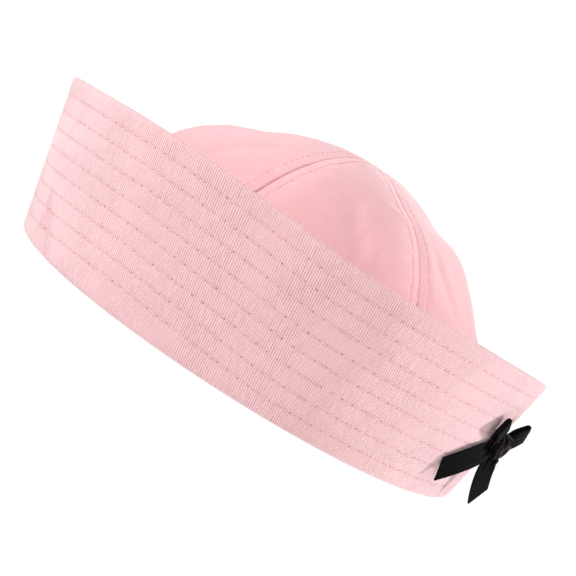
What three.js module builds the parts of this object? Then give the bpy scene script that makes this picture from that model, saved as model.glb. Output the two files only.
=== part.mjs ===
// Sailor hat: a soft six-gore crown, a wide stitched brim turned up round it, and a small ribbon bow.
//
// Millimetres, +Z up. The origin is the centre of the flat ring, under the brim's fold, on which the
// hat rests. -Y is the side seen in front and +X is its right. An azimuth is in degrees, from -Y towards +X.
import * as THREE from 'three';

// Outer face of the fold in plan
const PLAN = { halfWidth: 94.5, halfDepth: 102.1 };

// The brim's J-shaped section: outer wall, fold, and a lip turned up inside
const BRIM = {
  wall: 2.4,
  foldGap: 1.2,
  lipWall: 1.6,
  lipHeight: 10,
  outerRound: 2.4,
  innerRound: 1.0,
  edgeRound: 0.8,
  lipRound: 0.5,
};

// The brim round the hat: how far its wall leans out, in degrees, and how high its edge stands
const BRIM_SECTIONS = [
  { azimuth: -90, flare: 12.7, height: 56.1 },
  { azimuth: -60, flare: 13.0, height: 57.8 },
  { azimuth: -30, flare: 13.9, height: 59.6 },
  { azimuth: -10, flare: 14.2, height: 58.5 },
  { azimuth: 8, flare: 14.0, height: 56.0 },
  { azimuth: 30, flare: 12.8, height: 56.0 },
  { azimuth: 60, flare: 10.6, height: 55.4 },
  { azimuth: 90, flare: 8.5, height: 53.6 },
  { azimuth: 120, flare: 9.6, height: 51.8 },
  { azimuth: 155, flare: 11.2, height: 49.2 },
  { azimuth: 180, flare: 12.0, height: 50.5 },
  { azimuth: 205, flare: 12.4, height: 53.6 },
  { azimuth: 235, flare: 12.6, height: 55.4 },
];

// Places up the wall that get a vertex of their own, as shares of its length
const WALL_STATIONS = [0.09, 0.17, 0.28, 0.45, 0.72];

// Crease pressed into the foot of the brim. At each height it sinks slowly from one azimuth to another,
// where it is `depth` deep, and comes back out within `rise` degrees.
const DENT = { from: -65, to: -45, split: 4, rise: 1.6 };
const DENT_SECTIONS = [
  { height: 0, start: -60.2, deepest: -51.6, depth: 0.8 },
  { height: 4, start: -59.5, deepest: -51.4, depth: 1.6 },
  { height: 8, start: -58.5, deepest: -52.6, depth: 2.2 },
  { height: 13, start: -58, deepest: -54, depth: 1.7 },
  { height: 17, start: -58.4, deepest: -56.6, depth: 0.8 },
  { height: 23, start: -58.6, deepest: -57.2, depth: 0 },
];

// The crown's outer face narrows with height z by (1 - (z / height) ^ heightPower) ^ radiusPower
const CROWN = {
  wall: 1.2,
  gap: 0.3,
  bottom: 3,
  height: 89,
  heightPower: 2.3,
  radiusPower: 0.57,
  lean: 4,
  tipRadius: 2.2,
  seamDepth: 0.9,
  seamHalfWidth: 2.6,
  swayHeight: 82,
  swaySpread: 5,
};

// Where the crown's swell grows in: above the brim's lip, up to its full fullness, and away from the tip
const SWELL = { lowest: 10, free: 25, full: 44.5, flatRadius: 2.2, freeRadius: 13 };

// The crown's panels, left to right: azimuth of the seam on a panel's left, how far that seam strays
// sideways near the top, and how far the panel's middle stands proud of its seams
const PANELS = [
  { seam: -22, sway: 0, fullness: 2.2 },
  { seam: 31, sway: -3, fullness: 2.2 },
  { seam: 92, sway: 0, fullness: 2.4 },
  { seam: 153, sway: 2, fullness: 2.0 },
  { seam: 215, sway: 0, fullness: 2.6 },
  { seam: 276, sway: 1, fullness: 1.8 },
];

// Soft bumps and hollows of the crown: where, how wide across and up the cloth, and how far out
const CROWN_FORMS = [
  { azimuth: 8, height: 66, across: 13, up: 14, out: -1.5 },
  { azimuth: -14, height: 66, across: 7, up: 22, out: 0.9 },
  { azimuth: 22, height: 70, across: 9, up: 14, out: 0.9 },
  { azimuth: 82, height: 75, across: 16, up: 6, out: 2.2 },
  { azimuth: 84, height: 58, across: 18, up: 9, out: -2.2 },
  { azimuth: 58, height: 64, across: 9, up: 14, out: -1.2 },
  { azimuth: -62, height: 68, across: 20, up: 10, out: 0.8 },
  { azimuth: -82, height: 81, across: 18, up: 8, out: -1.0 },
  { azimuth: 80, height: 85, across: 14, up: 4, out: -1.4 },
  { azimuth: 140, height: 66, across: 18, up: 14, out: -1.0 },
  { azimuth: 215, height: 70, across: 16, up: 14, out: 1.0 },
];

// Across a panel, from seam to seam, and up it, from its lower edge to its tip
const PANEL_COLUMNS = [0, 0.035, 0.085, 0.18, 0.33, 0.5, 0.67, 0.82, 0.915, 0.965, 1];
const PANEL_ROWS = [0, 0.1, 0.22, 0.34, 0.45, 0.56, 0.66, 0.75, 0.83, 0.9, 0.95, 1];

// Velvet ribbon bow. Its places are measured from the brim's wall at `azimuth` and `height`: `side` to
// greater azimuths, `out` from the wall, and `up` along it.
const BOW = { azimuth: 61.5, height: 29, ribbonWidth: 7.8, ribbonThickness: 1, clearance: 0.3 };
const KNOT = { side: 3.1, out: 3.4, up: 4.6, roundness: 0.6, tilt: 14, columns: 12, rows: 8 };

// A loop's ribbon turns round two arcs, whose angles are from the loop's own direction, in degrees
const LOOP = {
  pinch: 0.5,
  pinchedShare: 0.7,
  rootArc: { radius: 0.75, from: 100, to: 260, steps: 4 },
  tipArc: { radius: 0.75, from: -85, to: 85, steps: 4 },
};
const BOW_LOOPS = [
  { name: 'bow_loop_left', root: [-4.65, 3.0, 2.7], tip: [-10.9, 3.7, 7.8], facing: [0.2, 1, 0.15] },
  { name: 'bow_loop_right', root: [3.95, 3.6, 2.25], tip: [12.6, 4.0, 8.3], facing: [0, 1, 0] },
];
const TAIL = { pinch: 0.62, pinchedShare: 0.3, slant: 0.5, steps: 6 };
const BOW_TAILS = [
  {
    name: 'bow_tail_left',
    root: [-2.55, 2.5, -3.7],
    bend: [-14.3, 4.9, -6.0],
    end: [-23.6, 1.05, -16.5],
    facing: [0.1, 0.9, 0.64],
    tip: -1,
  },
  {
    name: 'bow_tail_right',
    root: [1.8, 4.9, -5.25],
    bend: [1.0, 5.9, -10.6],
    end: [9.8, 8.15, -19.0],
    facing: [-0.5, 0.95, 0.25],
    tip: 1,
  },
];

const FINISHES = {
  brimCotton: { color: 0xf3c6ca, roughness: 0.85, metalness: 0 },
  crownCotton: { color: 0xf9bfc4, roughness: 0.85, metalness: 0 },
  velvet: { color: 0x141114, roughness: 0.9, metalness: 0 },
};
const AZIMUTH_STEP = 5;
const NORMAL_STEP = 1e-3;

const radians = THREE.MathUtils.degToRad;
const bell = (distance, halfWidth) => Math.exp(-((distance / halfWidth) ** 2));

/** Signed difference of two azimuths, from -180 to 180 degrees. */
function turn(from, to) {
  return THREE.MathUtils.euclideanModulo(to - from + 180, 360) - 180;
}

/** Smooth periodic value of one column of a table, through each of its rows. */
function around(table, column, azimuth) {
  const count = table.length;
  const index = table.findIndex((row, i) => {
    const span = THREE.MathUtils.euclideanModulo(table[(i + 1) % count].azimuth - row.azimuth, 360);
    return THREE.MathUtils.euclideanModulo(azimuth - row.azimuth, 360) < span;
  });
  const row = (shift) => table[(index + shift + count) % count];
  const slope = (a, b, c) => {
    const reach = turn(a.azimuth, b.azimuth) + turn(b.azimuth, c.azimuth);
    return (c[column] - a[column]) / reach;
  };
  const span = turn(row(0).azimuth, row(1).azimuth);
  const s = turn(row(0).azimuth, azimuth) / span;
  return (
    (2 * s ** 3 - 3 * s ** 2 + 1) * row(0)[column] +
    (s ** 3 - 2 * s ** 2 + s) * span * slope(row(-1), row(0), row(1)) +
    (3 * s ** 2 - 2 * s ** 3) * row(1)[column] +
    (s ** 3 - s ** 2) * span * slope(row(0), row(1), row(2))
  );
}

/** Radius of the fold's outer face in plan. */
function planRadius(azimuth) {
  const angle = radians(azimuth);
  return 1 / Math.hypot(Math.sin(angle) / PLAN.halfWidth, Math.cos(angle) / PLAN.halfDepth);
}

/** Point at a radius and height in the half plane of an azimuth. */
function atAzimuth(azimuth, radius, z) {
  const angle = radians(azimuth);
  return new THREE.Vector3(Math.sin(angle) * radius, -Math.cos(angle) * radius, z);
}

/** How far the crease pushes the brim's wall in, at an azimuth and height. */
function dentDepth(azimuth, z) {
  const index = DENT_SECTIONS.findIndex((section) => section.height > z);
  if (index < 0) return 0;
  const upper = DENT_SECTIONS[index];
  const lower = DENT_SECTIONS[Math.max(index - 1, 0)];
  const share = THREE.MathUtils.clamp((z - lower.height) / (upper.height - lower.height || 1), 0, 1);
  const at = (column) => THREE.MathUtils.lerp(lower[column], upper[column], share);
  const beside = turn(at('start'), azimuth);
  const width = at('deepest') - at('start');
  const sunk = THREE.MathUtils.smoothstep(beside, 0, width);
  return at('depth') * (sunk - THREE.MathUtils.smoothstep(beside, width, width + DENT.rise));
}

/** Points of an arc about (x, z), angles in degrees. */
function arc(x, z, radius, from, to, steps) {
  return Array.from({ length: steps + 1 }, (_, i) => {
    const angle = radians(THREE.MathUtils.lerp(from, to, i / steps));
    return { x: x + radius * Math.cos(angle), z: z + radius * Math.sin(angle) };
  });
}

/** The brim's closed section at an azimuth: x outward from the fold's plan radius, z up. */
function brimSection(azimuth) {
  const { wall, foldGap, lipWall, lipHeight, outerRound, innerRound, edgeRound, lipRound } = BRIM;
  const flare = around(BRIM_SECTIONS, 'flare', azimuth);
  const height = around(BRIM_SECTIONS, 'height', azimuth);
  const sine = Math.sin(radians(flare));
  const cosine = Math.cos(radians(flare));
  const length = (height - (wall - edgeRound) * sine) / cosine;
  const onWall = (along, inward) => {
    const z = along * cosine + inward * sine;
    return { x: along * sine - inward * cosine - dentDepth(azimuth, z), z };
  };
  const lipOuter = -(wall + foldGap);
  const lipInner = lipOuter - lipWall;
  const foldBottom = wall;
  const foldSide = wall + foldGap / 2;
  return [
    ...arc(lipInner + innerRound, innerRound, innerRound, 180, 270, 2),
    ...arc((outerRound * (sine - 1)) / cosine, outerRound, outerRound, -90, -flare, 3),
    ...WALL_STATIONS.map((share) => onWall(length * share, 0)),
    onWall(length - edgeRound, 0),
    onWall(length, edgeRound),
    onWall(length, wall - edgeRound),
    onWall(length - edgeRound, wall),
    ...WALL_STATIONS.toReversed().map((share) => onWall(length * share, wall)),
    { x: (foldSide * sine - wall) / cosine, z: foldSide },
    { x: lipOuter + foldGap / 2, z: foldBottom },
    { x: lipOuter, z: foldSide },
    { x: lipOuter, z: lipHeight - lipRound },
    { x: lipOuter - lipRound, z: lipHeight },
    { x: lipInner + lipRound, z: lipHeight },
    { x: lipInner, z: lipHeight - lipRound },
  ];
}

/** Geometry from points and triangles that list them. */
function solid(points, triangles) {
  const geometry = new THREE.BufferGeometry();
  geometry.setAttribute('position', new THREE.Float32BufferAttribute(points.flatMap((p) => p.toArray()), 3));
  geometry.setIndex(triangles.flat());
  geometry.computeVertexNormals();
  return geometry;
}

/** Closed ring through sections with equal numbers of points. */
function ringSolid(sections) {
  const size = sections[0].length;
  const at = (i, j) => (i % sections.length) * size + (j % size);
  const triangles = sections.flatMap((section, i) =>
    section.flatMap((_, j) => [
      [at(i, j), at(i + 1, j), at(i + 1, j + 1)],
      [at(i, j), at(i + 1, j + 1), at(i, j + 1)],
    ]),
  );
  return solid(sections.flat(), triangles);
}

/** Closed wall between an outer and an inner grid of points, as rows of equal length. */
function wallSolid(outer, inner) {
  const rows = outer.length;
  const columns = outer[0].length;
  const offset = rows * columns;
  const front = (i, j) => i * columns + j;
  const back = (i, j) => offset + front(i, j);
  const quad = (a, b, c, d) => [[a, b, c], [a, c, d]];
  const triangles = [];
  for (let i = 0; i < rows - 1; i += 1) {
    for (let j = 0; j < columns - 1; j += 1) {
      triangles.push(...quad(front(i, j), front(i, j + 1), front(i + 1, j + 1), front(i + 1, j)));
      triangles.push(...quad(back(i, j), back(i + 1, j), back(i + 1, j + 1), back(i, j + 1)));
    }
    const last = columns - 1;
    triangles.push(...quad(front(i, 0), front(i + 1, 0), back(i + 1, 0), back(i, 0)));
    triangles.push(...quad(front(i, last), back(i, last), back(i + 1, last), front(i + 1, last)));
  }
  for (let j = 0; j < columns - 1; j += 1) {
    const last = rows - 1;
    triangles.push(...quad(front(0, j), back(0, j), back(0, j + 1), front(0, j + 1)));
    triangles.push(...quad(front(last, j), front(last, j + 1), back(last, j + 1), back(last, j)));
  }
  return solid([...outer.flat(), ...inner.flat()], triangles);
}

/** The brim, from closely spaced sections, closer still across the crease. */
function brimGeometry() {
  const azimuths = [];
  for (let azimuth = -180; azimuth < 180; azimuth += AZIMUTH_STEP) {
    const parts = azimuth >= DENT.from && azimuth < DENT.to ? DENT.split : 1;
    for (let i = 0; i < parts; i += 1) azimuths.push(azimuth + (AZIMUTH_STEP * i) / parts);
  }
  const sections = azimuths.map((azimuth) =>
    brimSection(azimuth).map(({ x, z }) => atAzimuth(azimuth, planRadius(azimuth) + x, z)),
  );
  return ringSolid(sections);
}

/** Radius of the crown's plain form at an azimuth and height. */
function crownRadius(azimuth, z) {
  const bottomRadius = planRadius(azimuth) - BRIM.wall - BRIM.foldGap - BRIM.lipWall - CROWN.gap;
  return bottomRadius * (1 - (z / CROWN.height) ** CROWN.heightPower) ** CROWN.radiusPower;
}

/** Azimuth of the seam on a panel's left, at a height. */
function seamAzimuth(panel, z) {
  const { seam, sway } = PANELS[panel % PANELS.length];
  const stray = (sway / crownRadius(seam, z)) * bell(z - CROWN.swayHeight, CROWN.swaySpread);
  return seam + THREE.MathUtils.radToDeg(stray);
}

/** How far the crown's cloth stands out of its plain form, `share` of the way across a panel. */
function crownSwell(panel, share, azimuth, span, z) {
  const radius = crownRadius(azimuth, z);
  const level = THREE.MathUtils.smoothstep(z, CROWN.bottom, SWELL.full) * (radius / PLAN.halfWidth);
  const full = PANELS[panel].fullness * Math.sin(Math.PI * share) * level;
  const formed = CROWN_FORMS.map((form) => {
    const beside = radians(turn(form.azimuth, azimuth)) * radius;
    return form.out * bell(beside, form.across) * bell(z - form.height, form.up);
  }).reduce((sum, value) => sum + value, 0);
  const fromSeam = Math.min(share, 1 - share) * radians(span) * radius;
  const ditch = CROWN.seamDepth * bell(fromSeam, CROWN.seamHalfWidth);
  const offTip = THREE.MathUtils.smoothstep(radius, SWELL.flatRadius, SWELL.freeRadius);
  const offLip = THREE.MathUtils.smoothstep(z, SWELL.lowest, SWELL.free);
  return (full + formed - ditch) * offTip * offLip;
}

/** Height of the plain form: `rise` goes from 0 at the crown's lower edge to 1 at a panel's tip. */
function crownHeight(rise) {
  const tipShare = CROWN.tipRadius / PLAN.halfWidth;
  const tipHeight = CROWN.height * (1 - tipShare ** (1 / CROWN.radiusPower)) ** (1 / CROWN.heightPower);
  return CROWN.bottom + (tipHeight - CROWN.bottom) * Math.sin((rise * Math.PI) / 2);
}

/** Point of the crown's outer face on a panel: `share` goes from its left seam, 0, to its right one, 1. */
function crownPoint(panel, share, rise) {
  const z = crownHeight(rise);
  const left = seamAzimuth(panel, z);
  const span = THREE.MathUtils.euclideanModulo(seamAzimuth(panel + 1, z) - left, 360);
  const azimuth = left + span * share;
  const swell = crownSwell(panel, share, azimuth, span, z);
  const upShare = z / CROWN.height;
  const radius = crownRadius(azimuth, z) + swell * Math.sqrt(1 - upShare ** 2);
  const point = atAzimuth(azimuth, radius, z + swell * upShare);
  point.x += CROWN.lean * upShare ** 2;
  return point;
}

/** Outward normal of the crown's outer face. */
function crownNormal(panel, share, rise) {
  const right = crownPoint(panel, share + NORMAL_STEP, rise);
  const sideways = right.sub(crownPoint(panel, share - NORMAL_STEP, rise));
  const upper = Math.min(rise + NORMAL_STEP, 1);
  const upwards = crownPoint(panel, share, upper).sub(crownPoint(panel, share, upper - NORMAL_STEP));
  return sideways.cross(upwards).normalize();
}

/** One gore of the crown, from the seam on its left to the one on its right. */
function panelGeometry(panel) {
  const layer = (depth) =>
    PANEL_ROWS.map((rise) => {
      const width = crownPoint(panel, 0, rise).distanceTo(crownPoint(panel, 1, rise));
      const margin = CROWN.gap / 2 / width;
      return PANEL_COLUMNS.map((column) => {
        const share = THREE.MathUtils.lerp(margin, 1 - margin, column);
        return crownPoint(panel, share, rise).addScaledVector(crownNormal(panel, share, rise), -depth);
      });
    });
  return wallSolid(layer(0), layer(CROWN.wall));
}

/** Bow measures (side, out, up) as a direction. */
function bowDirection([side, out, up]) {
  const flare = radians(around(BRIM_SECTIONS, 'flare', BOW.azimuth));
  const away = out * Math.cos(flare) + up * Math.sin(flare);
  const rise = up * Math.cos(flare) - out * Math.sin(flare);
  return atAzimuth(BOW.azimuth, away, rise).add(atAzimuth(BOW.azimuth + 90, side, 0));
}

/** Bow measures (side, out, up) as a point. */
function bowPoint(measures) {
  const flare = around(BRIM_SECTIONS, 'flare', BOW.azimuth);
  const wall = planRadius(BOW.azimuth) + BOW.height * Math.tan(radians(flare));
  return atAzimuth(BOW.azimuth, wall, BOW.height).add(bowDirection(measures));
}

/** The knot: a rounded block, leaning sideways. */
function knotGeometry() {
  const swell = (value) => Math.sign(value) * Math.abs(value) ** KNOT.roundness;
  const tilt = radians(KNOT.tilt);
  const geometry = new THREE.SphereGeometry(1, KNOT.columns, KNOT.rows);
  const position = geometry.attributes.position;
  for (let i = 0; i < position.count; i += 1) {
    const side = KNOT.side * swell(position.getX(i));
    const up = KNOT.up * swell(position.getY(i));
    const out = KNOT.out * (1 + swell(position.getZ(i))) + BOW.clearance;
    const turnedSide = side * Math.cos(tilt) - up * Math.sin(tilt);
    const turnedUp = side * Math.sin(tilt) + up * Math.cos(tilt);
    position.setXYZ(i, ...bowPoint([turnedSide, out, turnedUp]).toArray());
  }
  return geometry;
}

/** A ribbon loop, flattened outwards: the ribbon's two layers with a rounded end at each side. */
function loopGeometry({ root, tip, facing }) {
  const start = bowPoint(root);
  const along = bowPoint(tip).sub(start);
  const length = along.length();
  along.normalize();
  const across = along.clone().cross(bowDirection(facing)).normalize();
  const out = across.clone().cross(along);
  const { rootArc, tipArc } = LOOP;
  const bend = (x, { radius, from, to, steps }, offset) => arc(x, 0, radius + offset, from, to, steps);
  const path = (offset) => [
    ...bend(rootArc.radius, rootArc, offset),
    ...bend(length - tipArc.radius, tipArc, offset),
  ];
  const place = ({ x, z }, side) =>
    start.clone().addScaledVector(along, x).addScaledVector(out, z).addScaledVector(across, side);
  const inside = path(-BOW.ribbonThickness / 2);
  const sections = path(BOW.ribbonThickness / 2).map((point, i) => {
    const share = THREE.MathUtils.smoothstep(inside[i].x, 0, length * LOOP.pinchedShare);
    const half = (BOW.ribbonWidth / 2) * THREE.MathUtils.lerp(LOOP.pinch, 1, share);
    return [place(point, -half), place(point, half), place(inside[i], half), place(inside[i], -half)];
  });
  return ringSolid(sections);
}

/** A ribbon tail: pinched where it leaves the knot, and cut on a slant at its end. */
function tailGeometry({ root, bend, end, facing, tip }) {
  const curve = new THREE.QuadraticBezierCurve3(bowPoint(root), bowPoint(bend), bowPoint(end));
  const face = bowDirection(facing);
  const layers = [BOW.ribbonThickness / 2, -BOW.ribbonThickness / 2].map((offset) =>
    Array.from({ length: TAIL.steps + 1 }, (_, i) => {
      const t = i / TAIL.steps;
      const along = curve.getTangent(t);
      const across = along.clone().cross(face).normalize();
      const normal = across.clone().cross(along);
      const width = THREE.MathUtils.lerp(TAIL.pinch, 1, THREE.MathUtils.smoothstep(t, 0, TAIL.pinchedShare));
      return [-1, 1].map((side) => {
        const slant = side * tip * TAIL.slant * THREE.MathUtils.smoothstep(t, 1 - TAIL.pinchedShare, 1);
        const half = (BOW.ribbonWidth / 2) * width;
        return curve.getPoint(t)
          .addScaledVector(across, side * half)
          .addScaledVector(along, slant * half)
          .addScaledVector(normal, offset);
      });
    }),
  );
  return wallSolid(...layers);
}

/** Named mesh with a material of its own. */
function piece(name, geometry, finish) {
  const mesh = new THREE.Mesh(geometry, new THREE.MeshStandardMaterial(finish));
  mesh.name = name;
  return mesh;
}

const hat = new THREE.Group();
hat.name = 'sailor_hat';
hat.add(piece('brim', brimGeometry(), FINISHES.brimCotton));
PANELS.forEach((_, i) => {
  hat.add(piece(`crown_panel_${i + 1}`, panelGeometry(i), FINISHES.crownCotton));
});
hat.add(piece('bow_knot', knotGeometry(), FINISHES.velvet));
BOW_LOOPS.forEach((loop) => hat.add(piece(loop.name, loopGeometry(loop), FINISHES.velvet)));
BOW_TAILS.forEach((tail) => hat.add(piece(tail.name, tailGeometry(tail), FINISHES.velvet)));

export default hat;
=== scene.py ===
"""Sailor hat: a ribbed cotton brim and a crown of six gores, with their stitching, and a small velvet bow.

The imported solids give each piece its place, and this script models the cloth over them. Shapes are worked
out in millimetres and placed in metres, +Z up, with the origin at the centre of the ring on which the hat
rests. -Y is the side seen in front and +X its right. An azimuth is in degrees, from -Y towards +X.
"""
from __future__ import annotations

import logging
import math
from dataclasses import dataclass
from enum import Enum
from functools import partial
from typing import Callable, Sequence

import bpy
import numpy as np
from mathutils import Matrix, Vector

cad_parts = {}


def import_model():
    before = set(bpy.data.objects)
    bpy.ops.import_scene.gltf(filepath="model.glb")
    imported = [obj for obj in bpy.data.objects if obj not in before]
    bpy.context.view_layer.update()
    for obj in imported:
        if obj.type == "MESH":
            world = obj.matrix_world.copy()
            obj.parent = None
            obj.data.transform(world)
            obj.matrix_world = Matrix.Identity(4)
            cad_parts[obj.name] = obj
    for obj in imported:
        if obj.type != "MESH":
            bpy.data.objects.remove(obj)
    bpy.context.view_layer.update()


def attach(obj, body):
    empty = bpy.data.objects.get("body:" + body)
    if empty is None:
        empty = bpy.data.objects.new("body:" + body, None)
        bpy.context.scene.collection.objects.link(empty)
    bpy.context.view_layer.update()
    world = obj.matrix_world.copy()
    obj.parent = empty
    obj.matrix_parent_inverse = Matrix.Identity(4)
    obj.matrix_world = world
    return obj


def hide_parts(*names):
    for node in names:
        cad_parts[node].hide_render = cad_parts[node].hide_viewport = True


LOG = logging.getLogger("sailor_hat")
MM = 0.001
BODY = "root"
GRAIN_UV = "Grain"
ROWS_UV = "Rows"
WALL_GROUP = "Wall"
STEPS_ROUND = np.linspace(-180, 180, 721)
MERGED_MM = 0.005
DISSOLVED_MM = 0.001

Array = np.ndarray
Value = float | Array
Point = tuple[float, float, float]
Socket = bpy.types.NodeSocket
Sockets = bpy.types.bpy_prop_collection


class Slot(Enum):
    """Material slots of the record, one for each finish."""

    BRIM_COTTON = "brim_cotton"
    CROWN_COTTON = "crown_cotton"
    VELVET = "velvet"


class Face(Enum):
    """Sides of the brim's wall that carry stitches."""

    OUTER = 1
    INNER = -1


def turn(start: Value, end: Value) -> Value:
    """Signed difference of two azimuths, from -180 to 180 degrees."""
    return (end - start + 180) % 360 - 180


def bell(distance: Value, half_width: Value) -> Value:
    """Smooth bump: 1 at no distance, falling to 1/e at the half width."""
    return np.exp(-((distance / half_width) ** 2))


def smoothstep(value: Value, low: float, high: float) -> Value:
    """Smooth step from 0 at `low` to 1 at `high`."""
    share = np.clip((value - low) / (high - low), 0, 1)
    return share * share * (3 - 2 * share)


def lerp(start: Value, end: Value, share: Value) -> Value:
    """Value a share of the way from `start` to `end`."""
    return start + (end - start) * share


def ripple(place: Value, length: float, seed: float) -> Value:
    """Uneven wave, from about -1 to 1, like the hand of a sewer: three sines that never fall in step.

    Args:
        place: where along the cloth, in mm.
        length: typical wave length, in mm.
        seed: shifts the wave, so that no two seams pucker alike.

    Returns:
        Height of the wave at each place.
    """
    turns = 2 * math.pi * place / length
    slow = 0.55 * np.sin(turns + seed)
    return slow + 0.3 * np.sin(1.71 * turns + 2.3 * seed) + 0.15 * np.sin(2.9 * turns + seed * seed)


def around(table: Sequence[tuple[float, ...]], column: int, azimuth: Array) -> Array:
    """Smooth periodic value of one column of a table whose first column is the azimuth.

    Args:
        table: rows in order round the hat.
        column: which value of a row is wanted.
        azimuth: where, in degrees.

    Returns:
        The value at each azimuth, on a curve through every row.
    """
    places = np.array([row[0] for row in table], float)
    values = np.array([row[column] for row in table], float)
    spans = (np.roll(places, -1) - places) % 360
    slopes = (np.roll(values, -1) - np.roll(values, 1)) / (np.roll(spans, 1) + spans)
    offsets = np.round((np.asarray(azimuth, float)[..., None] - places) % 360, 9) % 360
    index = np.argmin(offsets, axis=-1)
    span = spans[index]
    after = (index + 1) % len(table)
    s = np.take_along_axis(offsets, index[..., None], axis=-1)[..., 0] / span
    return (
        (2 * s**3 - 3 * s**2 + 1) * values[index]
        + (s**3 - 2 * s**2 + s) * span * slopes[index]
        + (3 * s**2 - 2 * s**3) * values[after]
        + (s**3 - s**2) * span * slopes[after]
    )


def distance_along(path: Array) -> Array:
    """Distance travelled at each point of a path, or of each column of a grid, from 0 at the first."""
    steps = np.linalg.norm(np.diff(path, axis=0), axis=-1)
    return np.concatenate([np.zeros_like(steps[:1]), np.cumsum(steps, axis=0)])


def at_azimuth(azimuth: Value, radius: Value, z: Value) -> Array:
    """Points at a radius and height in the half plane of an azimuth."""
    angle = np.radians(azimuth)
    return np.stack(np.broadcast_arrays(np.sin(angle) * radius, -np.cos(angle) * radius, z), axis=-1)


def unit(vectors: Array) -> Array:
    """Vectors scaled to length 1."""
    return vectors / np.linalg.norm(vectors, axis=-1, keepdims=True)


def deselect_all() -> None:
    """Deselects everything, so that an operator acts only on what is added next."""
    bpy.ops.object.select_all(action="DESELECT")


def edit_whole_mesh(*operators: Callable[[], object]) -> None:
    """Runs edit-mode operators on everything in the active mesh.

    Args:
        operators: the operators, in order.
    """
    bpy.ops.object.mode_set(mode="EDIT")
    bpy.ops.mesh.select_all(action="SELECT")
    for operator in operators:
        operator()
    bpy.ops.object.mode_set(mode="OBJECT")


def seal() -> None:
    """Merges the edges of the active mesh that meet, and turns its faces outwards."""
    edit_whole_mesh(
        partial(bpy.ops.mesh.remove_doubles, threshold=MERGED_MM * MM),
        partial(bpy.ops.mesh.dissolve_degenerate, threshold=DISSOLVED_MM * MM),
        partial(bpy.ops.mesh.normals_make_consistent, inside=False),
    )


def cloth_grid(name: str, points: Array, uv_maps: dict[str, Array]) -> bpy.types.Object:
    """Cloth laid out as a grid whose points are then set in place.

    Args:
        name: the piece's name.
        points: rows by columns of places, in mm.
        uv_maps: for each map's name, rows by columns of its two coordinates.

    Returns:
        The piece, selected and active, not yet sealed.
    """
    rows, columns = points.shape[:2]
    deselect_all()
    bpy.ops.mesh.primitive_grid_add(x_subdivisions=columns - 1, y_subdivisions=rows - 1, size=2)
    piece = bpy.context.active_object
    piece.name = piece.data.name = name
    mesh = piece.data
    flat = np.empty(len(mesh.vertices) * 3, np.float32)
    mesh.vertices.foreach_get("co", flat)
    shares = (flat.reshape(-1, 3)[:, :2] + 1) / 2
    column = np.rint(shares[:, 0] * (columns - 1)).astype(int)
    row = np.rint(shares[:, 1] * (rows - 1)).astype(int)
    mesh.vertices.foreach_set("co", (points[row, column] * MM).astype(np.float32).ravel())
    corners = np.empty(len(mesh.loops), np.int32)
    mesh.loops.foreach_get("vertex_index", corners)
    while mesh.uv_layers:
        mesh.uv_layers.remove(mesh.uv_layers[0])
    for map_name, places in uv_maps.items():
        layer = mesh.uv_layers.new(name=map_name)
        layer.uv.foreach_set("vector", places[row, column][corners].astype(np.float32).ravel())
    mesh.update()
    return piece


def thicken(thickness_mm: float, offset: float, rounding_mm: float = 0.0) -> None:
    """Gives the active sheet its thickness, and rounds its cut edges.

    Args:
        thickness_mm: thickness of the cloth.
        offset: -1 grows it inwards, 0 both ways.
        rounding_mm: radius of the edges, or 0 for none.
    """
    piece = bpy.context.active_object
    modifier = piece.modifiers.new("Thickness", "SOLIDIFY")
    modifier.thickness = thickness_mm * MM
    modifier.offset = offset
    modifier.use_quality_normals = True
    if WALL_GROUP in piece.vertex_groups:
        modifier.vertex_group = WALL_GROUP
        modifier.thickness_vertex_group = 0.05
    bpy.ops.object.modifier_apply(modifier=modifier.name)
    if rounding_mm:
        modifier = piece.modifiers.new("Rounding", "BEVEL")
        modifier.width = rounding_mm * MM
        modifier.segments = 3
        modifier.angle_limit = math.radians(50)
        bpy.ops.object.modifier_apply(modifier=modifier.name)


def settle(
    piece: bpy.types.Object, material: bpy.types.Material, slot: Slot, *nodes: str
) -> bpy.types.Object:
    """Finishes a piece: its material, its body, and the solids it stands for.

    Args:
        piece: the finished mesh.
        material: its finish.
        slot: the record's slot for that finish; not used.
        nodes: the CAD nodes that it replaces, if any.

    Returns:
        The piece.
    """
    piece.data.materials.clear()
    piece.data.materials.append(material)
    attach(piece, BODY)
    if nodes:
        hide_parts(*nodes)
    replaced = ", ".join(nodes) or "nothing"
    LOG.info("%s: %d faces, replaces %s", piece.name, len(piece.data.polygons), replaced)
    return piece


def linear(hex_colour: str) -> tuple[float, float, float, float]:
    """Linear RGBA of an sRGB hex colour."""
    values = [int(hex_colour[i : i + 2], 16) / 255 for i in (1, 3, 5)]
    return (*(v / 12.92 if v <= 0.04045 else ((v + 0.055) / 1.055) ** 2.4 for v in values), 1.0)


def add_node(
    tree: bpy.types.NodeTree,
    kind: str,
    inputs: dict[int | str, object] | Sequence[object] = (),
    **settings: object,
) -> Sockets:
    """Adds a shader node to a tree.

    Args:
        tree: the tree.
        kind: the node's type, without the "ShaderNode" that it starts with.
        inputs: values of its input sockets, or the sockets that feed them, in order or by name or number.
        settings: the node's own settings.

    Returns:
        Its output sockets.
    """
    node = tree.nodes.new(f"ShaderNode{kind}")
    for name, value in settings.items():
        setattr(node, name, value)
    for key, value in inputs.items() if isinstance(inputs, dict) else enumerate(inputs):
        if isinstance(value, Socket):
            tree.links.new(value, node.inputs[key])
        else:
            node.inputs[key].default_value = value
    return node.outputs


def emptied_tree(owner: bpy.types.Material | bpy.types.World) -> Callable[..., Sockets]:
    """Empties the node tree of a new material or world.

    Args:
        owner: the material or world.

    Returns:
        The function that adds a node to that tree.
    """
    owner.use_nodes = True
    owner.node_tree.nodes.clear()
    return partial(add_node, owner.node_tree)


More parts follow.
